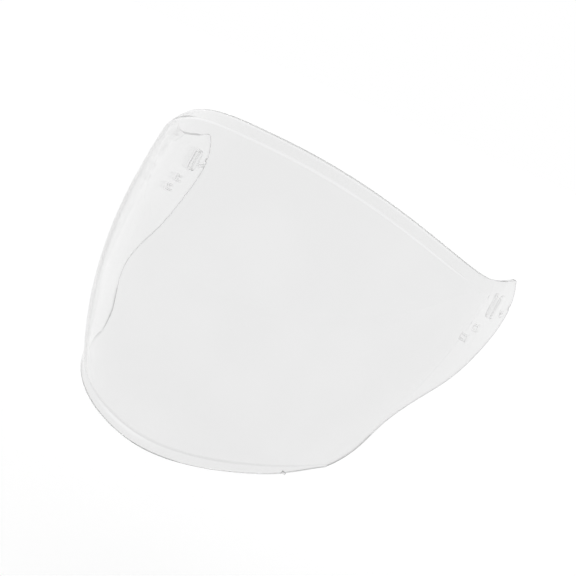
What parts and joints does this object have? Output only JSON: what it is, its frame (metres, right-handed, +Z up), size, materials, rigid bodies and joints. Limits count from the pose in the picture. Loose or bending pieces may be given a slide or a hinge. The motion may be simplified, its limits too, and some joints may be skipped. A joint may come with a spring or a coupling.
{
  "type": "motorcycle helmet visor",
  "caption": "Long clear wraparound face screen for an open-face motorcycle helmet, with a leaned brow flange, a chin lip and hook fittings inside the ears.",
  "frame": {"origin": "midpoint between the ears on the hook axis, the line through the centres of the two hook loops, about which the screen turns on its helmet", "axes": "+X to the wearer's left, -Y to the front, +Z up, in the worn attitude with the screen closed"},
  "size_m": [0.2344, 0.1856, 0.1841],
  "materials": {
    "clear_shell": "polished clear polycarbonate",
    "clear_fitting": "moulded clear polycarbonate"
  },
  "bodies": {
    "root": {"visor_shell": "clear_shell", "left_hook_loop": "clear_fitting", "right_hook_loop": "clear_fitting", "left_front_lug": "clear_fitting", "right_front_lug": "clear_fitting", "left_rear_lug": "clear_fitting", "right_rear_lug": "clear_fitting", "left_latch_tooth": "clear_fitting", "right_latch_tooth": "clear_fitting"}
  },
  "joints": []
}
